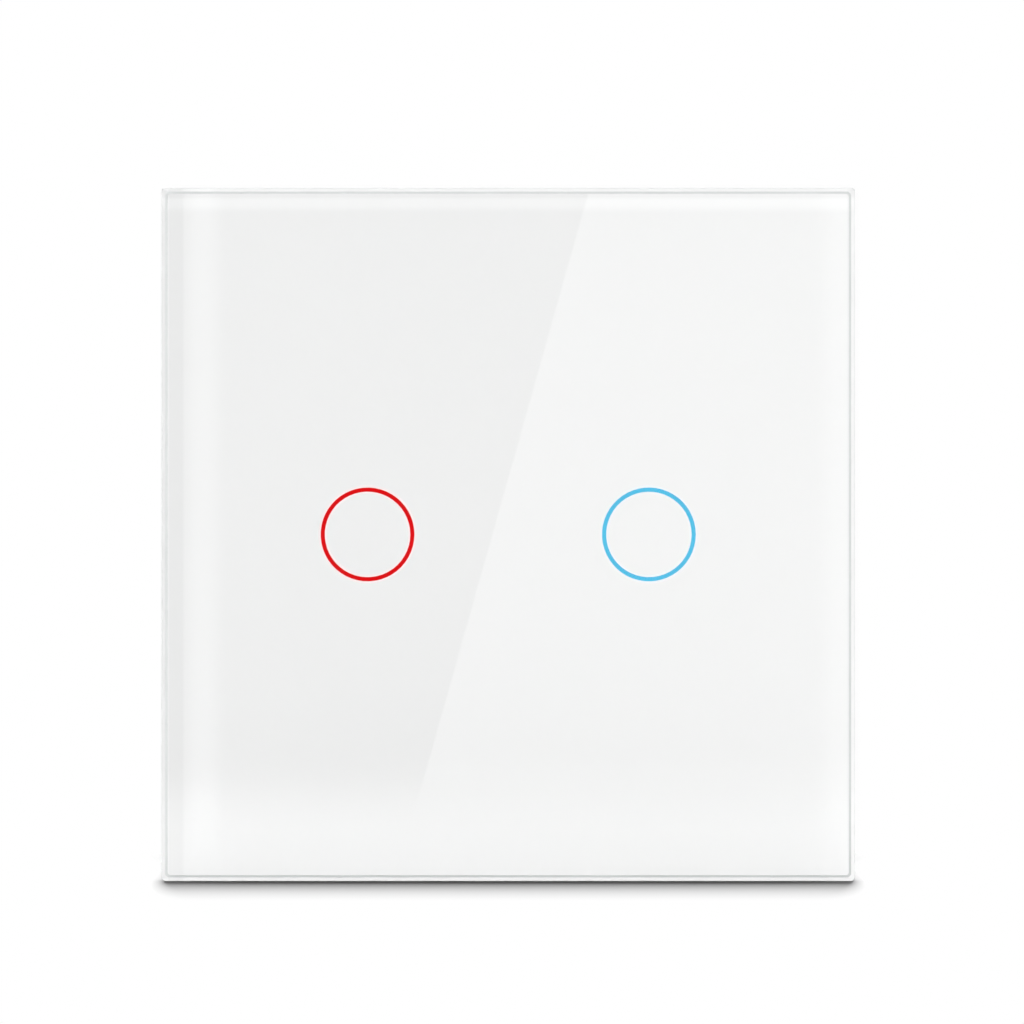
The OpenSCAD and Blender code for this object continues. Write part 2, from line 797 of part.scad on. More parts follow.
// The soft-iron circuit: a foot under the coil, an upright beside it and the core inside it
module relay_magnet(side) {
    foot_top = relay_base_top + yoke_t;
    color("lightsteelblue") at_relay(side) {
        box(span(0, yoke_w / 2), [relay_base_top, foot_top], [-yoke_upright - yoke_t, core_d]);
        box(span(0, yoke_w / 2), [relay_base_top, pivot_y], [-yoke_upright - yoke_t, -yoke_upright]);
        rod([0, 0], relay_base_top, relay_pole, core_d);
    }
}

module relay_coil(side) {
    low = relay_base_top + yoke_t;
    color("peru") at_relay(side) difference() {
        union() {
            rod([0, 0], low, low + coil_height, coil_d);
            rod([0, 0], low, low + bobbin_flange, bobbin_d);
            rod([0, 0], low + coil_height - bobbin_flange, low + coil_height, bobbin_d);
        }
        rod([0, 0], low - cut, low + coil_height + cut, core_d + 2 * fit_clearance);
    }
}

// The hinged plate with the spring leaf that carries the moving contact
module relay_armature(side) {
    top = armature_under + armature_t;
    color("silver") at_relay(side) {
        box(span(0, yoke_w / 2), [armature_under, top], [pivot_z - armature_tail, armature_tip]);
        box(span(0, leaf_w / 2), [top, top + leaf_t], [leaf_root, leaf_tip]);
        rod([0, contact_z], top - contact_t, top + leaf_t, contact_d);
    }
}

module relay_contact(side) {
    tab = fixed_contact_top - fixed_contact_t;
    color("goldenrod") at_relay(side) {
        box(span(0, leaf_w / 2), [relay_base_top, tab], [blade_z - blade_t, blade_z]);
        box(span(0, leaf_w / 2), [tab - blade_t, tab], [contact_z - fixed_contact_d / 2, blade_z]);
        rod([0, contact_z], tab - blade_t, fixed_contact_top, fixed_contact_d);
    }
}

// Power supply parts

module electrolytic_capacitor() {
    color("midnightblue") translate([electrolytic_x, power_board_back, supply_z]) rotate([-90, 0, 0])
        rotate_extrude() polygon([
            [0, 0], [electrolytic_d / 2, 0], [electrolytic_d / 2, 1], [electrolytic_d / 2 - 0.3, 1.3],
            [electrolytic_d / 2, 1.6], [electrolytic_d / 2, electrolytic_h - 0.3],
            [electrolytic_d / 2 - 0.3, electrolytic_h], [0, electrolytic_h],
        ]);
}

module film_capacitor() {
    color("gold") translate([film_x, power_board_back + film_size[1] / 2, supply_z])
        cube(film_size, center = true);
}

module varistor() {
    back = power_board_front - varistor_rise;
    color("steelblue") {
        rod([-flat_x, -flat_z], back - varistor_t, back, varistor_d);
        for (x = [-1, 1])
            rod([-flat_x + x * varistor_d / 3, -flat_z], back - varistor_t / 2, power_board_front, lead_d);
    }
}

module choke() {
    front = power_board_front - choke_h;
    color("dimgray") {
        rod([flat_x, flat_z], front, power_board_front, choke_d - 2 * lead_d);
        rod([flat_x, flat_z], power_board_front - choke_flange, power_board_front, choke_d);
        rod([flat_x, flat_z], front, front + choke_flange, choke_d);
    }
}

module fuse() {
    middle = power_board_front - fuse_rise - fuse_d / 2;
    half = fuse_length / 2 + fuse_lead;
    color("tan") {
        translate([flat_x - fuse_length / 2, middle, -flat_z]) rotate([0, 90, 0])
            cylinder(d = fuse_d, h = fuse_length);
        translate([flat_x - half, middle, -flat_z]) rotate([0, 90, 0]) cylinder(d = lead_d, h = 2 * half);
        for (x = [-1, 1])
            rod([flat_x + x * half, -flat_z], middle - fuse_leg_d / 2, power_board_front, fuse_leg_d);
    }
}

module rectifier() {
    color("dimgray") translate([-flat_x, power_board_front, flat_z]) {
        box(span(0, rectifier_size[0] / 2), [-rectifier_size[1], 0], span(0, rectifier_size[2] / 2));
        for (x = [-1, 1], z = [-1, 1])
            translate([x * rectifier_size[0] / 4, -rectifier_lead[1] / 2, z * rectifier_size[2] / 2])
                cube(rectifier_lead, center = true);
    }
}

glass_panel();
panel_print();
panel_tape();
panel_frame();
snap_hooks();
sensor_cover();
light_guide(-1, "red");  // left_light_guide
light_guide(1, "deepskyblue");  // right_light_guide
leds(-1, "red");  // left_leds
leds(1, "deepskyblue");  // right_leds
touch_springs();
touch_board();
touch_chip();
board_header();
board_socket();
mounting_bracket();
rear_housing();
housing_screws();
power_board();
terminal_block();
terminal_bars();
terminal_screw(1);  // terminal_screw_1
terminal_screw(2);  // terminal_screw_2
terminal_screw(3);  // terminal_screw_3
terminal_clamp(1);  // terminal_clamp_1
terminal_clamp(2);  // terminal_clamp_2
terminal_clamp(3);  // terminal_clamp_3
relay_case(-1);  // left_relay_case
relay_base(-1);  // left_relay_base
relay_magnet(-1);  // left_relay_magnet
relay_coil(-1);  // left_relay_coil
relay_armature(-1);  // left_relay_armature
relay_contact(-1);  // left_relay_contact
relay_case(1);  // right_relay_case
relay_base(1);  // right_relay_base
relay_magnet(1);  // right_relay_magnet
relay_coil(1);  // right_relay_coil
relay_armature(1);  // right_relay_armature
relay_contact(1);  // right_relay_contact
electrolytic_capacitor();
film_capacitor();
varistor();
choke();
fuse();
rectifier();
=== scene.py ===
import json
import math

import bmesh
import bpy
from bpy.props import FloatProperty, FloatVectorProperty, PointerProperty
from bpy.types import Operator, Panel, PropertyGroup
from mathutils import Matrix, Vector


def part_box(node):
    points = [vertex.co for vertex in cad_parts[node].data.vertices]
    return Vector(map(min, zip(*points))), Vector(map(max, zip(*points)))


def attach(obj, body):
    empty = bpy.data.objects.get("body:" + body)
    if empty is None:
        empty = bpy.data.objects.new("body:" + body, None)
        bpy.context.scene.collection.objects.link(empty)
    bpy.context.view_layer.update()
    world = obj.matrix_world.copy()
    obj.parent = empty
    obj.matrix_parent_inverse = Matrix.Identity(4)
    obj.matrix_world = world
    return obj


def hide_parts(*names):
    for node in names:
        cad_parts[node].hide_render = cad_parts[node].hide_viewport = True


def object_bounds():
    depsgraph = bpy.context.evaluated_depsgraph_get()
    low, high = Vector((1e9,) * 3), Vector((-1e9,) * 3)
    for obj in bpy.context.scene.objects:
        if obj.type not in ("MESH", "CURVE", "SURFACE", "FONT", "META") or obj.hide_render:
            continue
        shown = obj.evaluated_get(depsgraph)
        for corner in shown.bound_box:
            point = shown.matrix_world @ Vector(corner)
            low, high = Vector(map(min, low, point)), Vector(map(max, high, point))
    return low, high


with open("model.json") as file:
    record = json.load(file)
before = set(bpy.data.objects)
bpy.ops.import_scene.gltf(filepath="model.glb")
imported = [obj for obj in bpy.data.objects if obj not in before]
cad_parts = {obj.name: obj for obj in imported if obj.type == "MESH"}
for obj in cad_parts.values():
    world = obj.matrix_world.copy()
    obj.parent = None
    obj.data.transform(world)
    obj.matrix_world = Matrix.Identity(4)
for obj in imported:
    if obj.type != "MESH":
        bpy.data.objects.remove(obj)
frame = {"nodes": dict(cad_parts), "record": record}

bl_info = {
    "name": "Touch light switch",
    "version": (1, 0, 0),
    "blender": (4, 5, 0),
    "location": "View3D > Sidebar > Switch",
    "description": "Builds a glass touch switch with two lit rings and a studio floor for it to stand on",
    "category": "Object",
}

CAD_LOW, CAD_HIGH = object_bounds()
NODES = frame["nodes"]
SLOT_OF = {part["node"]: part["material_slot"] for part in frame["record"]["subparts"]}
BODY_OF = {node: body for body, nodes in frame["record"]["behaviour"]["bodies"].items() for node in nodes}
MM = 0.001
NEAR = 1e-6             # places closer than this are one place
STEP = 0.02 * MM        # width of a crisp edge between two finishes
SENSOR = 36             # width of the camera's sensor in mm
GLASS_IOR = 1.52
BLACK, WHITE = (0, 0, 0), (1, 1, 1)
TIN = (0.72, 0.72, 0.7)
# the copper wire's colour is darker between its turns as painted shade
WIRE_WITH_PAINTED_SHADE = (0.3, 0.1, 0.035), (0.74, 0.33, 0.14)    # copper wire, between its turns and on them


def length(name, description, default):
    """A size in metres that a user may change."""
    return FloatProperty(name=name, description=description, default=default, min=0, precision=5,
                         unit="LENGTH", subtype="DISTANCE")


def colour(name, description, default):
    """A colour that a user may change."""
    return FloatVectorProperty(name=name, description=description, default=default, size=3, min=0, max=1,
                               subtype="COLOR")


def level(name, description, default):
    """A brightness, share or slope that a user may change."""
    return FloatProperty(name=name, description=description, default=default, min=0, precision=3)


class SwitchSizes(PropertyGroup):
    """Sizes of the switch that the frame leaves open."""

    glass_chamfer: length("Glass chamfer", "Width of the polished bevel round the glass", 0.6 * MM)
    glass_corner: length("Glass corner", "Radius of the corners of the glass", 0.32 * MM)
    glass_arris: length("Glass arris", "Width of the ground line between the bevel and the face", 0.17 * MM)
    glass_rim: length("Glass rim", "Width of the softened outer edge of the bevel", 0.05 * MM)
    ink_bond: length("Ink bond", "How far the glass reaches into the ink on its back", 0.03 * MM)
    moulded_edge: length("Moulded edge", "Width of the rounding on moulded edges", 0.16 * MM)
    punched_edge: length("Punched edge", "Width of the rounding on punched metal edges", 0.1 * MM)
    case_edge: length("Case edge", "Width of the rounding on the cases of relays and capacitors", 0.4 * MM)
    can_vent: length("Can vent", "Width and depth of the vent cross in the electrolytic's can", 0.3 * MM)
    ring_radius: length("Ring radius", "Radius of the clear rings in the ink", 5.575 * MM)
    ring_line: length("Ring line", "Width of the line of those rings", 0.52 * MM)
    ring_glow: length("Ring glow", "How far a ring's light creeps into the ink beside its line", 0.4 * MM)
    screw_dome: length("Screw dome", "Height of the rounded part of a housing screw's head", 0.9 * MM)
    screw_cross: length("Screw cross", "Length of an arm of the cross in a housing screw", 2.6 * MM)


class SwitchColours(PropertyGroup):
    """Colours of the switch."""

    ink: colour("Ink", "White ink behind the glass", (0.981, 0.981, 0.981))
    glass: colour("Glass tint", "Light that the glass lets through", (0.985, 0.995, 0.99))
    glass_side: colour("Glass side", "Green that shows in the sides of the glass", (0.7, 0.88, 0.8))
    arris: colour("Ground edge", "Grey of the ground edges of the glass", (0.715, 0.735, 0.73))
    left_light: colour("Left light", "Light of the left ring", (0.77, 0.003, 0.005))
    right_light: colour("Right light", "Light of the right ring", (0.006, 0.485, 0.79))
    left_glow: level("Left glow", "Share of the left light that shows in the ink beside its ring", 0.2)
    right_glow: level("Right glow", "Share of the right light that shows in the ink beside its ring", 0.075)
    frame: colour("Frame", "Plastic of the panel's frame and hooks", (0.82, 0.82, 0.81))
    cover: colour("Cover", "Plastic of the sensor cover", (0.78, 0.78, 0.77))
    housing: colour("Housing", "Plastic of the rear housing", (0.6, 0.61, 0.61))
    terminal: colour("Terminal block", "Plastic of the terminal block", (0.03, 0.27, 0.13))
    steel: colour("Steel", "Galvanised sheet of the bracket", (0.6, 0.62, 0.64))
    board: colour("Board", "Solder mask of the boards", (0.012, 0.14, 0.06))


class SwitchStudio(PropertyGroup):
    """Camera and light of the studio."""

    camera_distance: length("Camera distance", "From the camera to the glass", 0.8)
    picture_width: length("Picture width", "Width of the picture at the glass", 126.95 * MM)
    camera_x: length("Camera aside", "How far the camera stands right of the middle", 0.47 * MM)
    camera_z: length("Camera height", "How far the camera stands over the middle", 2.79 * MM)
    floor_reach: length("Floor reach", "How far the floor runs in front of the glass", 0.36)
    floor_room: length("Floor room", "How far the floor runs behind and beside the switch", 0.5)
    mirror_start: length("Mirror start", "Where the floor that the glass mirrors starts to fade", 0.12)
    shadow_start: length("Shadow start", "How far from the switch its shadow is full", 3.4 * MM)
    shadow_reach: length("Shadow reach", "How far ahead and behind the floor keeps a shadow", 39 * MM)
    shadow_aside: length("Shadow aside", "Width over which the shadow fades at its sides", 1.6 * MM)
    shadow_inset: length("Shadow inset", "How far inside the switch's sides that fading starts", 0.4 * MM)
    shadow_taper: level("Shadow taper", "How fast the shadow narrows ahead of the switch", 0.15)
    shadow_spread: level("Shadow spread", "How fast its sides grow softer ahead of the switch", 0.11)
    shadow_blur: level("Shadow blur", "How fast its sides grow softer behind the switch", 0.25)
    shadow_curve: level("Shadow curve", "How early the shadow turns pale; below 1 is earlier", 0.7)
    softbox: level("Softbox", "Brightness of the softbox that the glass mirrors", 1.1)
    key: level("Key", "Brightness of the two lights beside the camera", 19.2)
    top: level("Top", "Brightness of the strip over the switch", 95.0)
    rear: level("Rear", "Brightness of the two lights behind the switch", 5.0)


def settings():
    """The three groups of settings of the scene."""
    scene = bpy.context.scene
    return scene.switch_sizes, scene.switch_colours, scene.switch_studio


class Value:
    """A socket's value. Arithmetic on it adds Math nodes to its tree."""

    def __init__(self, tree, socket):
        self.tree = tree
        self.socket = socket

    def math(self, operation, *terms):
        """The result of a Math node on some terms."""
        return self.tree.node("ShaderNodeMath", {"operation": operation}, dict(enumerate(terms)))

    def __add__(self, other):
        return self.math("ADD", self, other)

    def __sub__(self, other):
        return self.math("SUBTRACT", self, other)

    def __rsub__(self, other):
        return self.math("SUBTRACT", other, self)

    def __mul__(self, other):
        return self.math("MULTIPLY", self, other)

    def __truediv__(self, other):
        return self.math("DIVIDE", self, other)

    def __pow__(self, other):
        return self.math("POWER", self, other)

    def __abs__(self):
        return self.math("ABSOLUTE", self)

    __radd__ = __add__
    __rmul__ = __mul__


class Tree:
    """A node tree of a finish or of the world."""

    def __init__(self, nodes):
        self.nodes = nodes

    def node(self, kind, settings=None, sockets=None, output=0):
        """Adds a node, sets it, feeds its sockets and gives one of its outputs."""
        made = self.nodes.nodes.new(kind)
        for name, value in (settings or {}).items():
            setattr(made, name, value)
        for name, value in (sockets or {}).items():
            self.feed(made.inputs[name], value)
        return Value(self, made.outputs[output]) if made.outputs else made

    def feed(self, socket, value):
        """Links a value to a socket, or sets a plain number or colour on it."""
        if isinstance(value, Value):
            self.nodes.links.new(value.socket, socket)
        elif socket.type == "RGBA":
            socket.default_value = (*value[:3], 1)
        else:
            socket.default_value = value

    def blend(self, share, first, second):
        """A colour that goes from the first to the second as share goes from 0 to 1."""
        return self.node("ShaderNodeMix", {"data_type": "RGBA"}, {0: share, 6: first, 7: second}, 2)

    def rise(self, value, low, high):
        """0 below low and 1 above high, with a smooth step between."""
        return self.node("ShaderNodeMapRange", {"interpolation_type": "SMOOTHSTEP"},
                         {"Value": value, "From Min": low, "From Max": high})

    def ramp(self, value, low, high):
        """0 below low and 1 above high, with a straight slope between."""
        return self.node("ShaderNodeMapRange", {}, {"Value": value, "From Min": low, "From Max": high})

    def larger(self, first, second):
        """The larger of two values."""
        return self.node("ShaderNodeMath", {"operation": "MAXIMUM"}, {0: first, 1: second})

    def rays(self):
        """1 for rays from the camera, for mirrored rays and for rays through glass."""
        return [self.node("ShaderNodeLightPath", output="Is %s Ray" % kind)
                for kind in ("Camera", "Glossy", "Transmission")]


class Finish(Tree):
    """A material whose pattern lies in the frame that all pieces share."""

    def __init__(self, name):
        self.material = bpy.data.materials.new(name)
        self.material.use_nodes = True
        super().__init__(self.material.node_tree)
        self.shader = self.nodes.nodes["Principled BSDF"]
        self.place = self.node("ShaderNodeTexCoord", output="Object")

    def axis(self, number):
        """The place along X, Y or Z."""
        return self.node("ShaderNodeSeparateXYZ", {}, {0: self.place}, number)

    def stretched(self, scale):
        """The place, stretched along each axis."""
        return self.node("ShaderNodeVectorMath", {"operation": "MULTIPLY"}, {0: self.place, 1: scale})

    def beyond(self, number, middle, half):
        """1 where the place along an axis is further from a middle than half, both in mm."""
        return self.rise(abs(self.axis(number) - middle * MM), half * MM, half * MM + STEP)

    def noise(self, scale, detail=2.0, place=None):
        """Cloudy noise, with so many clouds to the metre."""
        return self.node("ShaderNodeTexNoise", {},
                         {"Vector": place or self.place, "Scale": scale, "Detail": detail})

    def cells(self, scale, output="Distance", shape="EUCLIDEAN"):
        """A pattern of cells, with so many cells to the metre."""
        return self.node("ShaderNodeTexVoronoi", {"distance": shape},
                         {"Vector": self.place, "Scale": scale}, output)

    def wave(self, operation, value):
        """A sine or cosine of a value in radians."""
        return self.node("ShaderNodeMath", {"operation": operation}, {0: value})

    def bump(self, height, strength, distance):
        """Feeds a relief to the shader."""
        self.shade(Normal=self.node("ShaderNodeBump", {},
                                    {"Strength": strength, "Distance": distance, "Height": height}))

    def mixed(self, share, first, second):
        """A surface that goes from the first shader to the second as share goes from 0 to 1."""
        return self.node("ShaderNodeMixShader", {}, {0: share, 1: first, 2: second})

    def shade(self, **sockets):
        """Feeds the shader's sockets; Base_Color stands for Base Color."""
        for name, value in sockets.items():
            self.feed(self.shader.inputs[name.replace("_", " ")], value)


def scaled(base, factor):
    """A colour made lighter or darker."""
    return tuple(min(1.0, part * factor) for part in base)


def from_middle(first, second):
    """How far a place is from a middle, from its distances along two axes."""
    return (first * first + second * second) ** 0.5


def middle_of(node):
    """The middle of a frame node's box."""
    low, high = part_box(node)
    return (low + high) / 2


def moulded(name, base, roughness=0.42, grain=2600, relief=0.12, mottle=0.05, leads=None):
    """Moulded plastic: a fine spark-eroded grain, slow colour drift, uneven gloss, and tin on its leads."""
    finish = Finish(name)
    drift = finish.noise(45, 3)
    texture = finish.noise(grain, 2)
    tone = finish.blend(drift, scaled(base, 1 - mottle), scaled(base, 1 + mottle / 2))
    gloss = roughness - 0.06 + 0.12 * texture
    if leads:
        bare = leads(finish)
        finish.shade(Metallic=bare)
        tone, gloss = finish.blend(bare, tone, TIN), gloss * (1 - bare) + 0.25 * bare
    finish.shade(Base_Color=tone, Roughness=gloss)
    finish.bump(texture, relief, 0.03 * MM)
    return finish.material


def epoxy_leads(finish):
    """The feet of the touch chip and of the rectifier, where they stand out of the bodies."""
    chip_half, chip_reach, rectifier_half, rectifier_start = 2.0, 5.0, 1.96, 13.0
    chip = finish.beyond(0, 0, chip_half) * (1 - finish.beyond(2, 0, chip_reach))
    return chip + (finish.beyond(2, middle_of("rectifier").z / MM, rectifier_half)
                   * finish.beyond(2, 0, rectifier_start))


def connector_pins(finish):
    """The pins of the plug where they stand out of the touch board."""
    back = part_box("touch_board")[1].y
    return 1 - finish.rise(finish.axis(1), back - 0.05 * MM, back)


def varistor_leads(finish):
    """The varistor's leads, in the gap between its disc and the power board."""
    gap = 0.3 * MM
    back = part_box("power_board")[0].y - gap
    return finish.rise(finish.axis(1), back, back + STEP)


def fuse_leads(finish):
    """The fuse's leads, past the two ends of its tube."""
    tube_half = 3.0
    return finish.beyond(0, middle_of("fuse").x / MM, tube_half)


def plated(name, base, roughness=0.28, grain=900, stretch=(1, 1, 1), mottle=0.12):
    """Plated metal: faint clouding and fine tool marks."""
    finish = Finish(name)
    cloud = finish.noise(160, 3)
    marks = finish.noise(grain, 2, finish.stretched(stretch))
    finish.shade(Base_Color=finish.blend(cloud, scaled(base, 1 - mottle), scaled(base, 1 + mottle / 2)),
                 Metallic=1.0, Roughness=roughness - 0.06 + 0.14 * marks)
    finish.bump(marks, 0.08, 0.02 * MM)
    return finish.material


def clear_glass():
    """Clear glass with a trace of green and with wiping marks in its gloss."""
    colours = settings()[1]
    finish = Finish("clear_glass")
    wipes = finish.noise(30, 3, finish.stretched((1.0, 1.0, 0.25)))
    finish.shade(Base_Color=colours.glass, Roughness=0.004 + 0.008 * wipes, IOR=GLASS_IOR,
                 Transmission_Weight=1.0)
    return finish.material


def polished_side():
    """The sides of the glass, ground and polished: greener than the face, with faint grinding lines."""
    green = settings()[1].glass_side
    finish = Finish("polished_side")
    lines = finish.noise(5000, 2, finish.stretched((0.04, 1.0, 0.04)))
    finish.shade(Base_Color=finish.blend(lines, scaled(green, 0.93), scaled(green, 1.07)),
                 Roughness=0.08 + 0.12 * lines, IOR=GLASS_IOR, Transmission_Weight=1.0)
    finish.bump(lines, 0.05, 0.02 * MM)
    return finish.material


def ground_edge():
    """The satin line left where the bevel of the glass was ground, with painted light that makes it paler
    along the left side.
    """
    colours = settings()[1]
    finish = Finish("ground_edge")
    grit, wander = finish.noise(7000, 2), finish.noise(90, 3)
    # painted light: the ground line turns paler along the left side of the glass
    paler = 1 - finish.rise(finish.axis(0), CAD_LOW.x + 1 * MM, CAD_LOW.x + 2 * MM)
    tone = 0.5 * grit + 0.5 * wander + 0.3 * paler
    finish.shade(Base_Color=finish.blend(tone, scaled(colours.arris, 0.86), scaled(colours.arris, 1.14)),
                 Roughness=0.5 + 0.2 * grit, Specular_IOR_Level=0.15)
    return finish.material


def white_ink():
    """Screen-printed ink: almost even, with painted light and shade that stand for light coming in through
    the bevel (a painted shadow band along the left, paler bands along the sides, the top and towards the
    bottom), and a painted glow of the rings' light in the ink beside them."""
    sizes, colours = settings()[:2]
    finish = Finish("white_ink")
    across, up = finish.axis(0), finish.axis(2)
    half = CAD_HIGH.x
    from_left, from_right, from_top, from_bottom = across + half, half - across, half - up, up + half

    def band(distance, start, full, fade, end):
        """1 between full and fade, given in mm, and 0 before start and after end."""
        return (finish.rise(distance, start * MM, full * MM)
                * (1 - finish.rise(distance, fade * MM, end * MM)))

    mottle = finish.noise(900, 3)
    # painted shade: the darker band along the left; painted light: the paler bands along the sides, the top
    # and towards the bottom
    shade = (0.885 + 0.006 * mottle
             - 0.052 * band(from_left, 0.7, 0.9, 2.3, 2.9)
             + 0.042 * band(from_left, 2.5, 4.6, 5.6, 8.0)
             + 0.038 * band(from_right, 0.7, 1.0, 1.6, 5.2)
             + 0.056 * band(from_top, 0.9, 1.5, 1.9, 3.2)
             + 0.079 * (1 - finish.rise(from_bottom, 4 * MM, 17 * MM))
             + 0.022 * (1 - finish.rise(from_bottom, 1 * MM, 5 * MM)))
    # the ink's emission beside each ring is a painted glow of that ring's light, since the ink is no lamp
    aside = abs(across) - middle_of("right_light_guide").x
    off = abs(from_middle(aside, up) - sizes.ring_radius) - sizes.ring_line / 2
    glow = 1 - finish.rise(off, 0, sizes.ring_glow)
    light = finish.blend(finish.rise(across, -MM, MM), scaled(colours.left_light, colours.left_glow),
                         scaled(colours.right_light, colours.right_glow))
    finish.shade(Base_Color=finish.blend(shade, BLACK, colours.ink), Roughness=0.5 + 0.1 * mottle,
                 Emission_Color=finish.blend(glow, BLACK, light), Emission_Strength=1.0)
    return finish.material


def lit_guide(name, light, node):
    """Milky plastic with light in it: brightest behind the ring, a little brighter over each LED."""
    leds, dark_radius, lit_radius = 4, 4.2 * MM, 5.1 * MM
    middle = middle_of(node)
    finish = Finish(name)
    across, up = finish.axis(0) - middle.x, finish.axis(2) - middle.z
    turn = finish.node("ShaderNodeMath", {"operation": "ARCTAN2"}, {0: up, 1: across})
    spots = 0.975 + 0.025 * finish.wave("COSINE", turn * leds)
    lit = finish.rise(from_middle(across, up), dark_radius, lit_radius)
    milk = tuple(0.3 + 0.25 * part for part in light)
    cloud = finish.blend(finish.noise(700, 2), scaled(milk, 0.9), scaled(milk, 1.1))
    glow = finish.blend((0.1 + 0.9 * lit) * spots, BLACK, light)
    finish.shade(Base_Color=finish.blend(lit, cloud, scaled(light, 0.04)), Roughness=0.4,
                 Specular_IOR_Level=0.0, Emission_Color=glow, Emission_Strength=1.0)
    return finish.material


def galvanised_steel():
    """Hot-dip zinc: large flat crystals of different grey and gloss, with fine rolling lines."""
    colours = settings()[1]
    finish = Finish("galvanised_steel")
    shake = finish.noise(300, 2)
    crystal = finish.node("ShaderNodeSeparateColor", {}, {0: finish.cells(170, "Color")})
    lines = finish.noise(2200, 2, finish.stretched((0.06, 1, 1)))
    tone = 0.6 * crystal + 0.4 * shake
    finish.shade(Base_Color=finish.blend(tone, scaled(colours.steel, 0.8), scaled(colours.steel, 1.15)),
                 Metallic=1.0, Roughness=0.28 + 0.16 * crystal + 0.08 * lines)
    finish.bump(0.7 * crystal + 0.3 * lines, 0.1, 0.03 * MM)
    return finish.material


def circuit_board():
    """Solder mask over copper: fine tracks, poured areas, tinned holes, and bare board at cut edges."""
    tracks_per_metre, mask_depth = 1100, 0.03
    colours = settings()[1]
    finish = Finish("circuit_board")

    def track(number):
        """0 in the middle of a track and 0.5 between two, for tracks set side by side along an axis."""
        return finish.node("ShaderNodeMath", {"operation": "PINGPONG"},
                           {0: finish.axis(number) * tracks_per_metre, 1: 0.5})

    def faces(board):
        """1 on the two faces of a board and 0 in its cut edges."""
        low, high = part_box(board)
        return finish.beyond(1, middle_of(board).y / MM, (high.y - low.y) / 2 / MM - mask_depth)

    patch = finish.node("ShaderNodeSeparateColor", {}, {0: finish.cells(120, "Color", "CHEBYCHEV")})
    turned = finish.rise(patch, 0.4, 0.41)
    run = 1 - finish.rise(track(2) * (1 - turned) + track(0) * turned, 0.16, 0.22)
    copper = finish.larger(run, finish.rise(patch, 0.72, 0.73))
    hole = 1 - finish.rise(finish.cells(300), 0.13, 0.17)
    mask = finish.blend(copper, colours.board, scaled(colours.board, 1.9))
    skin = faces("power_board") * faces("touch_board")
    face = finish.blend(hole, mask, TIN)
    weave = finish.noise(2400, 2, finish.stretched((1, 0.2, 1)))
    edge = finish.blend(weave, (0.3, 0.32, 0.13), (0.42, 0.42, 0.2))
    finish.shade(Base_Color=finish.blend(skin, edge, face), Roughness=0.6 - skin * (0.28 - 0.08 * copper),
                 Metallic=0.8 * hole * skin)
    finish.bump((copper + hole) * skin, 0.3, 0.03 * MM)
    return finish.material


def wound_choke():
    """Grey ferrite drum with copper wire between its two flanges."""
    flange, waves = 0.6 * MM, 20000
    low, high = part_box("choke")
    finish = Finish("wound_choke")
    depth = finish.axis(1)
    wire = finish.rise(depth, low.y + flange, low.y + flange + STEP) * (
        1 - finish.rise(depth, high.y - flange - STEP, high.y - flange))
    turns = 0.5 + 0.5 * finish.wave("SINE", depth * waves)
    grain = finish.noise(3500, 2)
    ferrite = finish.blend(grain, (0.03, 0.03, 0.032), (0.06, 0.06, 0.06))
    # the darker copper between the turns is painted shade
    copper = finish.blend(turns, *WIRE_WITH_PAINTED_SHADE)
    finish.shade(Base_Color=finish.blend(wire, ferrite, copper), Metallic=0.85 * wire,
                 Roughness=0.7 + 0.1 * grain - 0.4 * wire)
    finish.bump(wire * turns + (1 - wire) * grain, 0.3, 0.06 * MM)
    return finish.material


def foam_tape():
    """Closed-cell foam."""
    finish = Finish("foam_tape")
    cells = finish.cells(3200)
    finish.shade(Base_Color=finish.blend(cells, (0.6, 0.6, 0.57), (0.82, 0.82, 0.79)), Roughness=0.9)
    finish.bump(cells, 0.5, 0.1 * MM)
    return finish.material


def copper_winding():
    """Enamelled wire in close turns along Y."""
    waves = 26000
    finish = Finish("copper_winding")
    turns = 0.5 + 0.5 * finish.wave("SINE", finish.axis(1) * waves)
    # the darker copper between the turns is painted shade
    finish.shade(Base_Color=finish.blend(turns, *WIRE_WITH_PAINTED_SHADE), Metallic=0.85, Roughness=0.34 - 0.08 * turns)
    finish.bump(turns, 0.7, 0.1 * MM)
    return finish.material


def capacitor_sleeve():
    """Shrunk sleeve over an aluminium can: bare metal on top, a pale stripe down one side."""
    low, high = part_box("electrolytic_capacitor")
    middle, width = (low + high) / 2, high.x - low.x
    finish = Finish("capacitor_sleeve")
    across, up = finish.axis(0) - middle.x, finish.axis(2) - middle.z
    bare = (1 - finish.rise(from_middle(across, up), 0.39 * width, 0.4 * width)) * finish.rise(
        finish.axis(1), high.y - 0.5 * MM, high.y - 0.45 * MM)
    stripe = finish.rise(across, 0.3 * width, 0.31 * width)
    gloss = finish.noise(1500, 2)
    film = finish.blend(gloss, (0.018, 0.022, 0.055), (0.024, 0.03, 0.07))
    film = finish.blend(stripe, film, (0.5, 0.5, 0.52))
    finish.shade(Base_Color=finish.blend(bare, film, (0.8, 0.8, 0.81)), Metallic=bare,
                 Roughness=0.22 + 0.08 * gloss + 0.1 * bare)
    finish.bump(gloss, 0.05, 0.02 * MM)
    return finish.material


def led_package():
    """White reflector with a yellow phosphor drop."""
    finish = Finish("led_package")
    grain = finish.noise(3000, 2)
    finish.shade(Base_Color=finish.blend(grain, (0.78, 0.74, 0.52), (0.86, 0.84, 0.72)), Roughness=0.4,
                 Emission_Color=finish.blend(grain, (0.55, 0.5, 0.4), (0.7, 0.66, 0.55)),
                 Emission_Strength=0.4)
    return finish.material


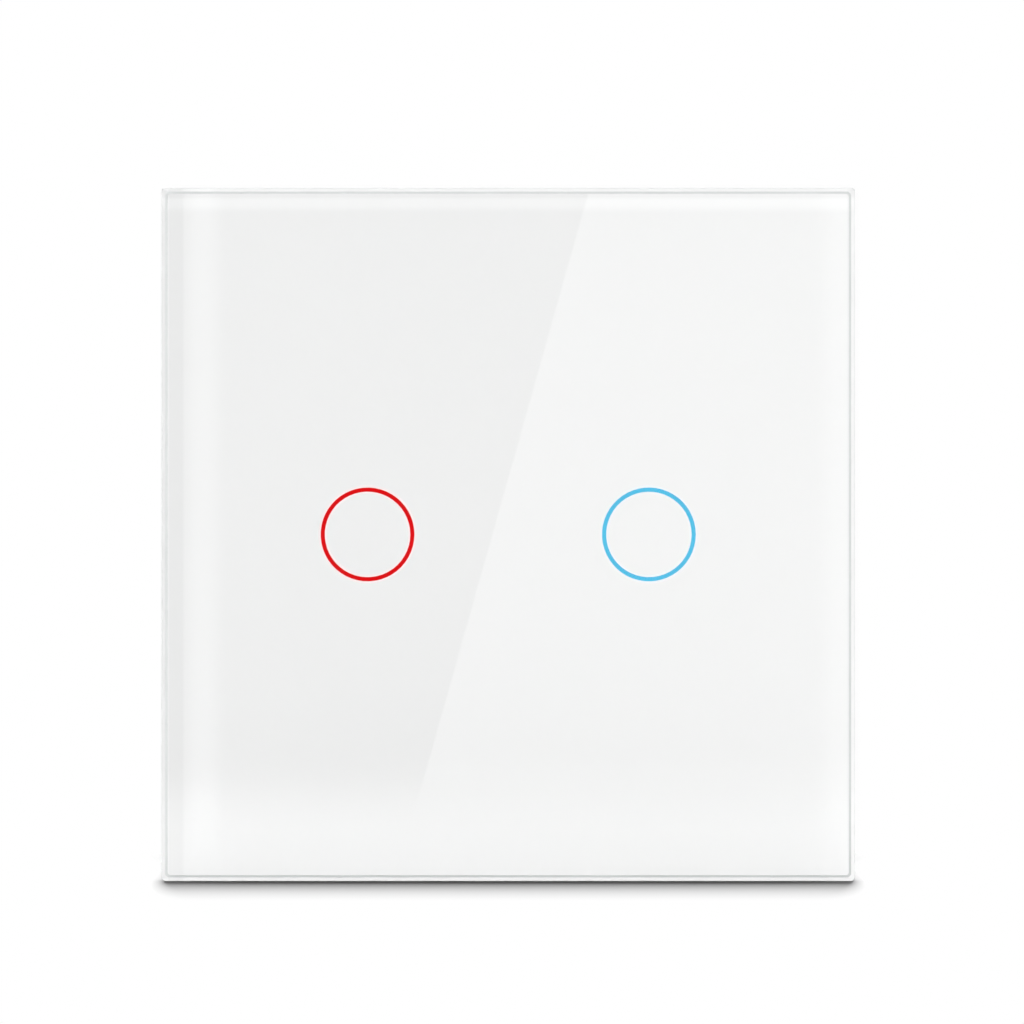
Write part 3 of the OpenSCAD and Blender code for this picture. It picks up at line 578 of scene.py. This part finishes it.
def make_finishes():
    """One material for each material slot of the record."""
    colours = settings()[1]
    return {
        "clear_glass": clear_glass(),
        "white_ink": white_ink(),
        "foam_tape": foam_tape(),
        "white_abs": moulded("white_abs", colours.frame, 0.38, 2400, 0.1),
        "cover_abs": moulded("cover_abs", colours.cover, 0.45, 1900, 0.2),
        "red_light_guide": lit_guide("red_light_guide", colours.left_light, "left_light_guide"),
        "blue_light_guide": lit_guide("blue_light_guide", colours.right_light, "right_light_guide"),
        "led_package": led_package(),
        "plated_spring": plated("plated_spring", (0.72, 0.6, 0.3), 0.25),
        "circuit_board": circuit_board(),
        "black_epoxy": moulded("black_epoxy", (0.018, 0.018, 0.02), 0.55, 5200, 0.25, 0.2, epoxy_leads),
        "black_connector": moulded("black_connector", (0.014, 0.014, 0.015), 0.35, 3000, 0.1, 0.2,
                                   connector_pins),
        "galvanised_steel": galvanised_steel(),
        "housing_plastic": moulded("housing_plastic", colours.housing, 0.5, 1700, 0.3, 0.06),
        "zinc_screw": plated("zinc_screw", (0.66, 0.67, 0.68), 0.3, 1400),
        "terminal_plastic": moulded("terminal_plastic", colours.terminal, 0.4, 2600, 0.12, 0.12),
        "brass": plated("brass", (0.78, 0.56, 0.22), 0.3),
        "plated_clamp": plated("plated_clamp", (0.7, 0.68, 0.63), 0.26, 1800, (1, 0.1, 1)),
        "relay_plastic": moulded("relay_plastic", (0.03, 0.09, 0.33), 0.32, 3000, 0.08, 0.12),
        "soft_iron": plated("soft_iron", (0.52, 0.52, 0.52), 0.36),
        "copper_winding": copper_winding(),
        "capacitor_sleeve": capacitor_sleeve(),
        "film_box": moulded("film_box", (0.75, 0.5, 0.06), 0.36, 2200, 0.1, 0.1),
        "varistor_coat": moulded("varistor_coat", (0.03, 0.15, 0.38), 0.3, 900, 0.35, 0.18, varistor_leads),
        "fuse_body": moulded("fuse_body", (0.5, 0.36, 0.2), 0.35, 2600, 0.1, 0.15, fuse_leads),
    }


FINISHES = {}


def finish_of(slot):
    """The material of a slot, made when the first piece asks for it."""
    if not FINISHES:
        FINISHES.update(make_finishes())
    return FINISHES[slot]


def only(piece):
    """Selects one object and nothing else."""
    bpy.ops.object.select_all(action="DESELECT")
    piece.select_set(True)
    bpy.context.view_layer.objects.active = piece


def edit(piece):
    """Opens one object in edit mode."""
    only(piece)
    bpy.ops.object.mode_set(mode="EDIT")


def close():
    """Leaves edit mode."""
    bpy.ops.object.mode_set(mode="OBJECT")


def pick(kind, test):
    """In edit mode, selects the corners, edges or faces that pass a test."""
    bpy.ops.mesh.select_mode(type=kind)
    bpy.ops.mesh.select_all(action="DESELECT")
    data = bpy.context.object.data
    mesh = bmesh.from_edit_mesh(data)
    for item in {"VERT": mesh.verts, "EDGE": mesh.edges, "FACE": mesh.faces}[kind]:
        if test(item):
            item.select_set(True)
    mesh.select_flush_mode()
    bmesh.update_edit_mesh(data)


def at_depth(depth):
    """A test for edges that lie at one depth along Y."""
    return lambda edge: all(abs(corner.co.y - depth) < NEAR for corner in edge.verts)


def faces_front(face):
    """A test for faces that look to the front, towards -Y."""
    return face.normal.y < -0.9


def new_box(name, low, high):
    """A box between two corners, with its place in its mesh."""
    bpy.ops.object.select_all(action="DESELECT")
    bpy.ops.mesh.primitive_cube_add(size=1, location=(low + high) / 2, scale=high - low)
    return settled(name)


def new_rod(name, middle, radius, depth, vertices):
    """A round bar along Y, with its place in its mesh."""
    bpy.ops.object.select_all(action="DESELECT")
    bpy.ops.mesh.primitive_cylinder_add(vertices=vertices, radius=radius, depth=depth, location=middle,
                                        rotation=(math.pi / 2, 0, 0))
    return settled(name)


def settled(name):
    """Names the new object and puts its place into its mesh."""
    piece = bpy.context.object
    piece.name = piece.data.name = name
    bpy.ops.object.transform_apply(location=True, rotation=True, scale=True)
    return piece


def modify(piece, kind, **values):
    """Adds a modifier, sets it and applies it."""
    only(piece)
    bpy.ops.object.modifier_add(type=kind)
    modifier = piece.modifiers[-1]
    for name, value in values.items():
        setattr(modifier, name, value)
    bpy.ops.object.modifier_apply(modifier=modifier.name)


def cut_away(piece, cutter):
    """Takes the cutter's shape out of a piece and removes the cutter."""
    modify(piece, "BOOLEAN", operation="DIFFERENCE", solver="EXACT", object=cutter)
    bpy.data.objects.remove(cutter)


def place_piece(piece, nodes, *extra, angle=35, finish=None):
    """Gives a piece the finish, body and frame nodes that it stands for."""
    slot = SLOT_OF[nodes[0]]
    piece.data.materials.clear()
    for material in (finish or finish_of(slot), *extra):
        piece.data.materials.append(material)
    only(piece)
    bpy.ops.object.shade_smooth_by_angle(angle=math.radians(angle))
    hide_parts(*nodes)
    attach(piece, BODY_OF[nodes[0]])
    return piece


def merged_copy(node, name):
    """A new object with a frame node's own shape, its loose triangles merged to clean faces."""
    piece = bpy.data.objects.new(name, NODES[node].data.copy())
    piece.data.name = name
    bpy.context.scene.collection.objects.link(piece)
    only(piece)
    bpy.ops.mesh.customdata_custom_splitnormals_clear()
    edit(piece)
    bpy.ops.mesh.select_all(action="SELECT")
    bpy.ops.mesh.remove_doubles(threshold=NEAR)
    bpy.ops.mesh.dissolve_limited(angle_limit=math.radians(0.5))
    close()
    return piece


def softened_copy(node, name, width, segments=2, finish=None):
    """A piece from a frame node's own shape, with its sharp edges rounded."""
    return soften(merged_copy(node, name), node, width, segments, finish)


def soften(piece, node, width, segments=2, finish=None):
    """Rounds the sharp edges of a piece and places it for its frame node."""
    modify(piece, "BEVEL", width=width, segments=segments, limit_method="ANGLE",
           angle_limit=math.radians(40), use_clamp_overlap=True, miter_outer="MITER_ARC")
    place_piece(piece, [node], finish=finish)
    modify(piece, "WEIGHTED_NORMAL", mode="FACE_AREA", weight=50, keep_sharp=True)
    return piece


class TOUCH_SWITCH_OT_glass(Operator):
    """Models the bevelled glass front"""

    bl_idname = "touch_switch.glass"
    bl_label = "Glass front"

    def execute(self, context):
        sizes = settings()[0]
        low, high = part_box("glass_panel")
        high.y += sizes.ink_bond
        piece = new_box("glass_front", low, high)
        sides, ground = polished_side(), ground_edge()
        ground_place, side_place, upright = 1, 2, 0.05
        for material in (finish_of(SLOT_OF["glass_panel"]), ground, sides):
            piece.data.materials.append(material)
        edit(piece)
        pick("EDGE", at_depth(low.y))
        bpy.ops.mesh.bevel(offset=sizes.glass_chamfer, segments=1, affect="EDGES")
        pick("EDGE", at_depth(low.y))
        bpy.ops.mesh.bevel(offset=sizes.glass_arris, segments=1, affect="EDGES", material=ground_place)
        pick("EDGE", at_depth(low.y + sizes.glass_chamfer))
        bpy.ops.mesh.bevel(offset=sizes.glass_rim, segments=2, affect="EDGES", material=ground_place)
        pick("EDGE", at_depth(high.y))
        bpy.ops.mesh.bevel(offset=2 * sizes.glass_arris, segments=1, affect="EDGES", material=ground_place)
        pick("EDGE", lambda edge: edge.calc_length() < high.x and all(
            abs(abs(corner.co.x) - abs(corner.co.z)) < NEAR for corner in edge.verts))
        bpy.ops.mesh.bevel(offset=sizes.glass_corner, segments=6, affect="EDGES")
        close()
        places = [side_place if abs(face.normal.y) < upright else face.material_index
                  for face in piece.data.polygons]
        place_piece(piece, ["glass_panel"], ground, sides, angle=12)
        for face, number in zip(piece.data.polygons, places):
            face.material_index = number
        piece.visible_shadow = False
        piece.visible_diffuse = False
        return {"FINISHED"}


class TOUCH_SWITCH_OT_ink(Operator):
    """Finishes the ink behind the glass, which keeps the frame's own shape with its two ring windows"""

    bl_idname = "touch_switch.ink"
    bl_label = "Ink with rings"

    def execute(self, context):
        ink = NODES["panel_print"]
        ink.material_slots[0].material = finish_of(SLOT_OF["panel_print"])
        ink.visible_diffuse = False
        return {"FINISHED"}


class TOUCH_SWITCH_OT_frame(Operator):
    """Dresses the panel's frame and its snap hooks"""

    bl_idname = "touch_switch.frame"
    bl_label = "Panel frame"

    def execute(self, context):
        edge = settings()[0].moulded_edge
        softened_copy("panel_frame", "frame_tray", edge)
        softened_copy("snap_hooks", "frame_hooks", edge)
        return {"FINISHED"}


class TOUCH_SWITCH_OT_cover(Operator):
    """Dresses the sensor cover and the two light guides"""

    bl_idname = "touch_switch.cover"
    bl_label = "Sensor cover"

    def execute(self, context):
        edge = settings()[0].moulded_edge
        softened_copy("sensor_cover", "cover_shell", edge)
        softened_copy("left_light_guide", "left_ring_guide", edge / 2)
        softened_copy("right_light_guide", "right_ring_guide", edge / 2)
        return {"FINISHED"}


class TOUCH_SWITCH_OT_bracket(Operator):
    """Dresses the steel bracket"""

    bl_idname = "touch_switch.bracket"
    bl_label = "Steel bracket"

    def execute(self, context):
        softened_copy("mounting_bracket", "bracket_plate", settings()[0].punched_edge)
        return {"FINISHED"}


class TOUCH_SWITCH_OT_housing(Operator):
    """Dresses the rear housing"""

    bl_idname = "touch_switch.housing"
    bl_label = "Rear housing"

    def execute(self, context):
        softened_copy("rear_housing", "housing_shell", settings()[0].moulded_edge)
        return {"FINISHED"}


class TOUCH_SWITCH_OT_screws(Operator):
    """Models one cross-head housing screw and sets a copy in each corner"""

    bl_idname = "touch_switch.screws"
    bl_label = "Housing screws"

    def execute(self, context):
        sizes = settings()[0]
        low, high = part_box("housing_screws")
        head_radius, head_height, shank_radius, tip_length = 2.3 * MM, 1.8 * MM, 1.25 * MM, 1 * MM
        arm_half, cross_depth, clear = 0.36 * MM, 1.2 * MM, 1 * MM
        tip_share, cross_share = 0.4, 0.5
        place = Vector((high.x - head_radius, 0, high.z - head_radius))
        seat = high.y - head_height
        screw = new_rod("corner_screws", place + Vector((0, (seat + high.y) / 2, 0)), head_radius,
                        head_height, 48)
        edit(screw)
        pick("EDGE", at_depth(high.y))
        bpy.ops.mesh.bevel(offset=sizes.screw_dome, segments=6, affect="EDGES")
        pick("FACE", faces_front)
        bpy.ops.mesh.inset(thickness=head_radius - shank_radius)
        for shift in (low.y + tip_length - seat, -tip_length):
            bpy.ops.mesh.extrude_region_move(TRANSFORM_OT_translate={"value": (0, shift, 0)})
        bpy.ops.transform.resize(value=(tip_share, 1, tip_share), center_override=place)
        close()
        for turn in (0, 1):
            reach = Vector((sizes.screw_cross / 2, 0, arm_half))
            if turn:
                reach = Vector((reach.z, 0, reach.x))
            floor = high.y - cross_depth
            arm = new_box("cross_arm", place + Vector((0, floor, 0)) - reach,
                          place + Vector((0, high.y + clear, 0)) + reach)
            edit(arm)
            pick("FACE", faces_front)
            bpy.ops.transform.resize(value=(cross_share, 1, cross_share), center_override=place)
            close()
            cut_away(screw, arm)
        copies = []
        for number, (x, z) in enumerate(((-1, 1), (-1, -1), (1, -1))):
            copy = bpy.data.objects.new("corner_copy", screw.data.copy())
            bpy.context.scene.collection.objects.link(copy)
            turned = Matrix.Rotation(math.radians(25 + 37 * number), 4, "Y")
            there = Vector((x * place.x, 0, z * place.z))
            copy.data.transform(Matrix.Translation(there) @ turned @ Matrix.Translation(-place))
            copies.append(copy)
        only(screw)
        for copy in copies:
            copy.select_set(True)
        bpy.ops.object.join()
        place_piece(screw, ["housing_screws"])
        return {"FINISHED"}


class TOUCH_SWITCH_OT_terminals(Operator):
    """Dresses the terminal block, its screws and its rising clamps"""

    bl_idname = "touch_switch.terminals"
    bl_label = "Terminals"

    def execute(self, context):
        sizes = settings()[0]
        softened_copy("terminal_block", "terminal_body", sizes.moulded_edge)
        for number in (1, 2, 3):
            softened_copy("terminal_screw_%d" % number, "wire_screw_%d" % number, sizes.punched_edge)
            softened_copy("terminal_clamp_%d" % number, "wire_clamp_%d" % number, sizes.punched_edge)
        softened_copy("terminal_bars", "wire_bars", sizes.punched_edge)
        return {"FINISHED"}


class TOUCH_SWITCH_OT_touch(Operator):
    """Dresses the LEDs, the touch chip, the touch springs and the plug between the boards"""

    bl_idname = "touch_switch.touch"
    bl_label = "Touch parts"

    def execute(self, context):
        sizes = settings()[0]
        for side in ("left", "right"):
            softened_copy(side + "_leds", side + "_lamps", sizes.moulded_edge)
        softened_copy("touch_chip", "touch_chip_body", sizes.moulded_edge)
        softened_copy("board_header", "plug_pins", sizes.punched_edge)
        softened_copy("board_socket", "plug_socket", sizes.moulded_edge)
        coils = merged_copy("touch_springs", "touch_coils")
        modify(coils, "SUBSURF", levels=1, render_levels=1)
        place_piece(coils, ["touch_springs"], angle=80)
        return {"FINISHED"}


class TOUCH_SWITCH_OT_relays(Operator):
    """Dresses the two relays"""

    bl_idname = "touch_switch.relays"
    bl_label = "Relays"

    def execute(self, context):
        sizes = settings()[0]
        for side in ("left", "right"):
            relay = side + "_relay_"
            cap = merged_copy(relay + "case", relay + "cap")
            edit(cap)
            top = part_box(relay + "case")[1].y
            pick("FACE", lambda face: abs(face.calc_center_median().y - top) < NEAR)
            bpy.ops.mesh.inset(thickness=3 * sizes.case_edge)
            bpy.ops.mesh.extrude_region_move(TRANSFORM_OT_translate={"value": (0, -sizes.case_edge / 2, 0)})
            close()
            soften(cap, relay + "case", sizes.case_edge / 2, 3)
            softened_copy(relay + "base", relay + "foot", sizes.moulded_edge)
            softened_copy(relay + "magnet", relay + "yoke", sizes.punched_edge)
            softened_copy(relay + "coil", relay + "bobbin", sizes.punched_edge)
            softened_copy(relay + "armature", relay + "lever", sizes.punched_edge)
            softened_copy(relay + "contact", relay + "blade", sizes.punched_edge)
        return {"FINISHED"}


class TOUCH_SWITCH_OT_supply(Operator):
    """Dresses the parts of the power supply and cuts the vent cross into the electrolytic's can"""

    bl_idname = "touch_switch.supply"
    bl_label = "Power supply"

    def execute(self, context):
        sizes = settings()[0]
        softened_copy("film_capacitor", "film_block", 1.5 * sizes.case_edge, 4)
        softened_copy("varistor", "varistor_disc", 1.5 * sizes.case_edge, 4)
        softened_copy("choke", "choke_drum", sizes.moulded_edge, finish=wound_choke())
        softened_copy("fuse", "fuse_tube", sizes.moulded_edge)
        softened_copy("rectifier", "rectifier_block", sizes.moulded_edge)
        can = merged_copy("electrolytic_capacitor", "electrolytic_can")
        low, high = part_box("electrolytic_capacitor")
        top = Vector(((low.x + high.x) / 2, high.y, (low.z + high.z) / 2))
        reach, narrow, depth = 0.3 * (high.x - low.x), sizes.can_vent / 2, sizes.can_vent
        floor_share = 0.8
        for arm in (Vector((reach, depth, narrow)), Vector((narrow, depth, reach))):
            groove = new_box("vent_groove", top - arm, top + arm)
            edit(groove)
            pick("FACE", faces_front)
            bpy.ops.transform.resize(value=(floor_share, 1, floor_share), center_override=top)
            close()
            cut_away(can, groove)
        soften(can, "electrolytic_capacitor", sizes.can_vent / 3)
        return {"FINISHED"}


class TOUCH_SWITCH_OT_inside(Operator):
    """Gives every frame node that stays in view its own finish"""

    bl_idname = "touch_switch.inside"
    bl_label = "Inner parts"

    def execute(self, context):
        for name, node in NODES.items():
            if node.hide_render:
                continue
            for slot in node.material_slots:
                slot.material = finish_of(SLOT_OF[name])
        return {"FINISHED"}


def soft_light(name, place, aim, size, brightness, lean=0.0):
    """A rectangular soft light whose brightness is that of its face."""
    bpy.ops.object.select_all(action="DESELECT")
    turn = (Vector(aim) - Vector(place)).to_track_quat("-Z", "Y").to_matrix().to_4x4()
    turn = turn @ Matrix.Rotation(math.radians(lean), 4, "Z")
    bpy.ops.object.light_add(type="AREA", location=place, rotation=turn.to_euler())
    lamp = bpy.context.object
    lamp.name = lamp.data.name = name
    lamp.data.shape = "RECTANGLE"
    lamp.data.size, lamp.data.size_y = size
    lamp.data.energy = brightness * math.pi * size[0] * size[1]
    return lamp


class TOUCH_SWITCH_OT_stage(Operator):
    """Sets the floor, the light, the white background and the camera"""

    bl_idname = "touch_switch.stage"
    bl_label = "Studio"

    def execute(self, context):
        self.lay_floor()
        self.set_lights()
        self.set_world()
        self.set_camera()
        context.scene.view_settings.view_transform = "Standard"
        return {"FINISHED"}

    def lay_floor(self):
        """A pale floor that shows white to the camera where no shadow falls, and white in the glass."""
        studio = settings()[2]
        gap, shown = 0.02 * MM, (0.67, 0.67, 0.67)
        front, back = CAD_LOW.y - studio.floor_reach, studio.floor_room
        bpy.ops.object.select_all(action="DESELECT")
        bpy.ops.mesh.primitive_plane_add(size=1, location=(0, (front + back) / 2, CAD_LOW.z - gap))
        floor = bpy.context.object
        floor.scale = (2 * studio.floor_room, back - front, 1)
        floor = settled("studio_floor")
        finish = Finish("studio_floor")
        camera, glossy, through = finish.rays()
        grain = finish.noise(60, 3)
        grey = finish.blend(grain, (0.29, 0.29, 0.29), (0.31, 0.31, 0.31))
        finish.shade(Base_Color=finish.blend(camera, grey, shown), Roughness=1.0, Specular_IOR_Level=0.0)
        before = finish.larger(CAD_LOW.y - finish.axis(1), 0)
        behind = finish.larger(finish.axis(1) - CAD_HIGH.y, 0)
        ahead = before + behind
        inset = studio.shadow_inset + studio.shadow_taper * before + studio.shadow_blur * behind
        width = studio.shadow_aside + studio.shadow_spread * before + 2 * studio.shadow_blur * behind
        aside = finish.larger(abs(finish.axis(0)) - CAD_HIGH.x + inset, 0) * studio.shadow_reach / width
        far = finish.ramp(from_middle(aside, ahead), studio.shadow_start, studio.shadow_reach)
        pale = camera * far ** studio.shadow_curve
        white = finish.node("ShaderNodeEmission", {}, {"Color": WHITE, "Strength": 1.0})
        lit = Value(finish, finish.shader.outputs["BSDF"])
        clear = finish.node("ShaderNodeBsdfTransparent")
        above = finish.mixed(pale, lit, white)
        fading = finish.rise(ahead, studio.mirror_start, studio.floor_reach)
        surface = finish.mixed(finish.larger(glossy, through), above, finish.mixed(fading, white, clear))
        below = finish.node("ShaderNodeNewGeometry", output="Backfacing")
        surface = finish.mixed(below * camera, surface, clear)
        finish.feed(finish.nodes.nodes["Material Output"].inputs["Surface"], surface)
        floor.data.materials.append(finish.material)

    def set_lights(self):
        """A mirrored softbox, a key on each side, a strip overhead and two lights from behind."""
        studio = settings()[2]
        soft_light("softbox", place=(0.1388, -1.2115, -0.0447), aim=(0.1388, 0, -0.0447), size=(0.3, 0.42),
                   brightness=studio.softbox, lean=-15.7)
        for side in (-1, 1):
            soft_light("key", place=(side * 0.75, -0.95, 0.03), aim=(0, 0, 0.02), size=(0.9, 0.16),
                       brightness=studio.key)
            soft_light("rear", place=(side * 0.75, 0.95, 0.1), aim=(0, 0, 0), size=(0.8, 0.3),
                       brightness=studio.rear)
        soft_light("top", place=(0, 0.6, 2.0), aim=(0, 0.6, 0), size=(0.14, 0.8), brightness=studio.top)

    def set_world(self):
        """White for the camera; mirrored surfaces see it behind the switch and a dark room in front."""
        dark_room, front_fill, rear_fill = 0.05, 0.03, 0.3
        world = bpy.data.worlds.new("studio")
        bpy.context.scene.world = world
        world.use_nodes = True
        tree = Tree(world.node_tree)
        way = tree.node("ShaderNodeTexCoord", output="Generated")
        depth = tree.node("ShaderNodeSeparateXYZ", {}, {0: way}, 1)
        camera, glossy, through = tree.rays()
        mirrored = tree.larger(glossy, through)
        seen = (mirrored * (dark_room + (1 - dark_room) * tree.rise(depth, -0.4, 0.2))
                + (1 - mirrored) * (front_fill + rear_fill * tree.rise(depth, 0.0, 0.5)))
        ground = world.node_tree.nodes["Background"]
        tree.feed(ground.inputs["Color"], WHITE)
        tree.feed(ground.inputs["Strength"], camera + (1 - camera) * seen)

    def set_camera(self):
        """A long lens straight in front of the glass."""
        studio = settings()[2]
        place = (studio.camera_x, CAD_LOW.y - studio.camera_distance, studio.camera_z)
        bpy.ops.object.camera_add(location=place, rotation=(math.pi / 2, 0, 0))
        camera = bpy.context.object
        camera.name = "camera"
        camera.data.sensor_width = SENSOR
        camera.data.lens = SENSOR * studio.camera_distance / studio.picture_width
        camera.data.clip_start, camera.data.clip_end = 0.01, 20
        bpy.context.scene.camera = camera


MAKERS = (
    TOUCH_SWITCH_OT_glass, TOUCH_SWITCH_OT_ink, TOUCH_SWITCH_OT_frame, TOUCH_SWITCH_OT_cover,
    TOUCH_SWITCH_OT_bracket, TOUCH_SWITCH_OT_housing, TOUCH_SWITCH_OT_screws, TOUCH_SWITCH_OT_terminals,
    TOUCH_SWITCH_OT_touch, TOUCH_SWITCH_OT_relays, TOUCH_SWITCH_OT_supply, TOUCH_SWITCH_OT_inside,
    TOUCH_SWITCH_OT_stage,
)


class TOUCH_SWITCH_PT_sidebar(Panel):
    """Lists the makers and the settings"""

    bl_idname = "TOUCH_SWITCH_PT_sidebar"
    bl_label = "Touch light switch"
    bl_space_type = "VIEW_3D"
    bl_region_type = "UI"
    bl_category = "Switch"

    def draw(self, context):
        layout = self.layout
        for maker in MAKERS:
            layout.operator(maker.bl_idname)
        for group in settings():
            column = layout.column(align=True)
            for name in group.__annotations__:
                column.prop(group, name)


GROUPS = {"switch_sizes": SwitchSizes, "switch_colours": SwitchColours, "switch_studio": SwitchStudio}


def register():
    """Adds the settings, the makers and the sidebar to Blender."""
    for kind in (*GROUPS.values(), *MAKERS, TOUCH_SWITCH_PT_sidebar):
        bpy.utils.register_class(kind)
    for name, group in GROUPS.items():
        setattr(bpy.types.Scene, name, PointerProperty(type=group))


def unregister():
    """Takes them out again."""
    for name in GROUPS:
        delattr(bpy.types.Scene, name)
    for kind in reversed((*GROUPS.values(), *MAKERS, TOUCH_SWITCH_PT_sidebar)):
        bpy.utils.unregister_class(kind)


def main():
    """Builds the switch and its studio."""
    register()
    for maker in MAKERS:
        getattr(bpy.ops.touch_switch, maker.bl_idname.split(".")[1])()


if __name__ == "__main__":
    main()
